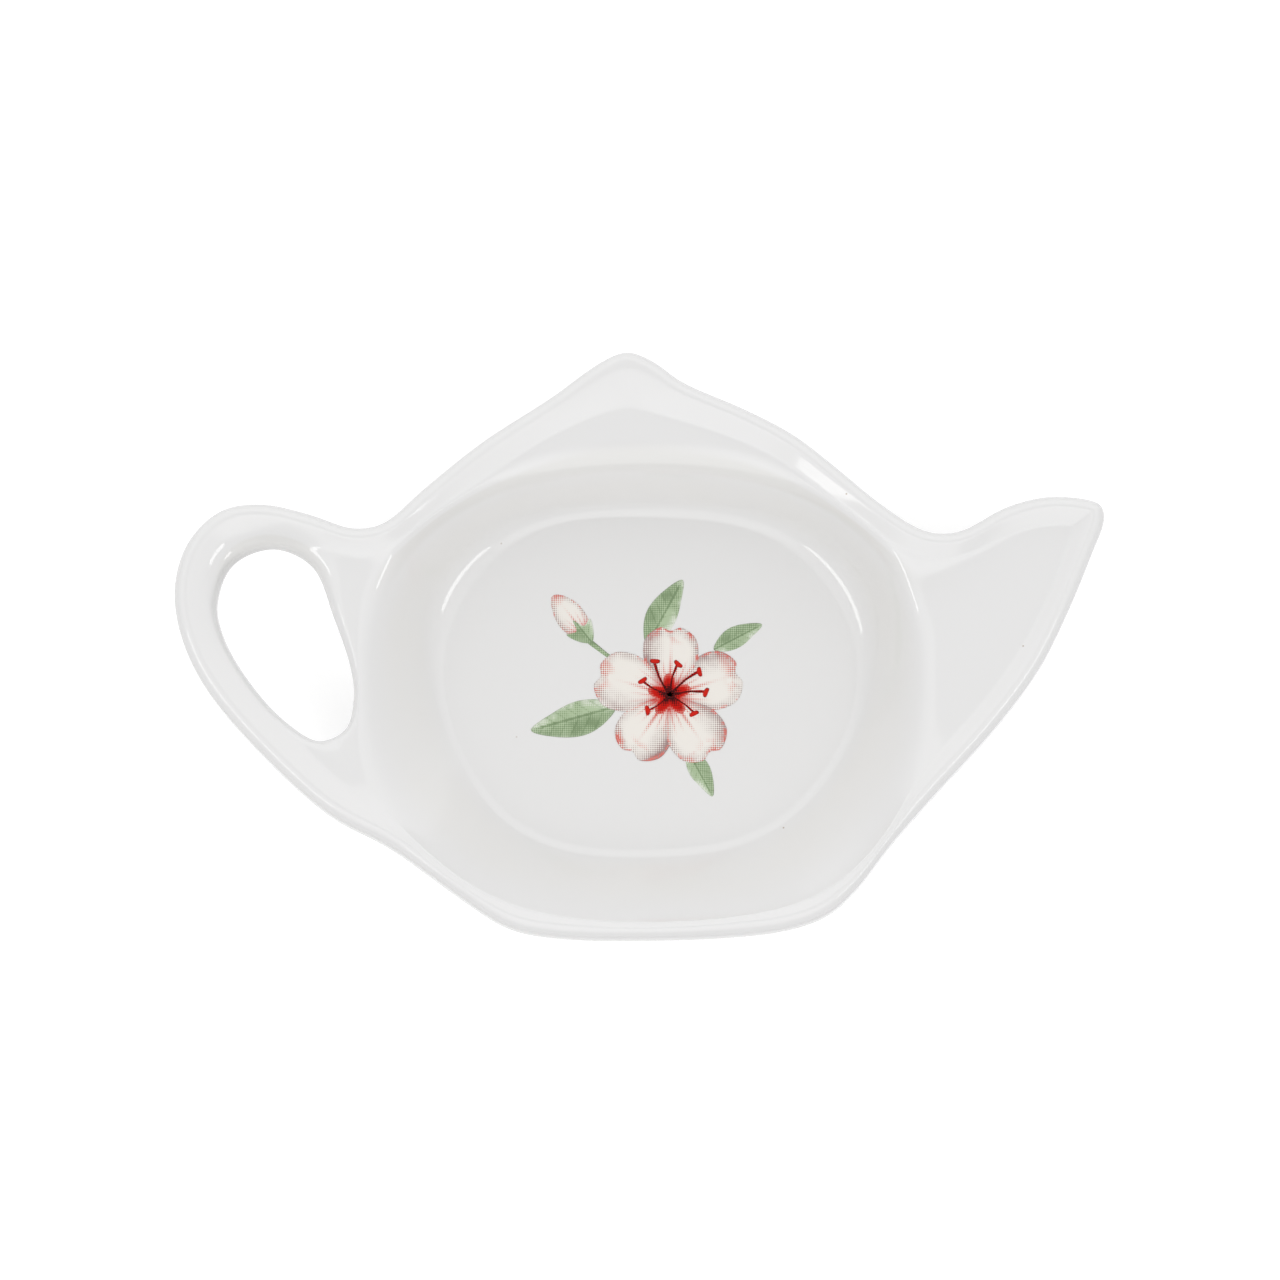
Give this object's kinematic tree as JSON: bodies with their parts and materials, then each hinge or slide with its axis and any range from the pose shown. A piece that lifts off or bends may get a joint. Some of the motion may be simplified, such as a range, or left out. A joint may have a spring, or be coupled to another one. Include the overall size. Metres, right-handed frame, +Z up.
{
  "type": "tea bag rest",
  "caption": "Small glazed porcelain dish in the outline of a teapot, with a rounded well, a loop handle, a spout, a foot ring and a printed flower.",
  "frame": {"origin": "middle of the bounding box in plan, on the plane the foot ring stands on", "axes": "+X towards the spout, +Y towards the tip of the lid, +Z up out of the well"},
  "size_m": [0.12, 0.077, 0.0155],
  "materials": {
    "glazed_porcelain": "white porcelain under a clear gloss glaze",
    "leaf_ink": "screen-printed transfer colour, fired on, glossy",
    "leaf_vein_ink": "screen-printed transfer colour, fired on, glossy",
    "petal_ink": "screen-printed transfer colour, fired on, glossy",
    "petal_blush_ink": "screen-printed transfer colour, fired on, glossy",
    "throat_ink": "screen-printed transfer colour, fired on, glossy",
    "filament_ink": "screen-printed transfer colour, fired on, glossy",
    "anther_ink": "screen-printed transfer colour, fired on, glossy",
    "bare_porcelain": "unglazed matt porcelain of the foot ring"
  },
  "bodies": {
    "root": {"porcelain_dish": "glazed_porcelain", "leaf_print": "leaf_ink", "leaf_vein_print": "leaf_vein_ink", "petal_print": "petal_ink", "petal_blush_print": "petal_blush_ink", "throat_print": "throat_ink", "filament_print": "filament_ink", "anther_print": "anther_ink"}
  },
  "joints": []
}
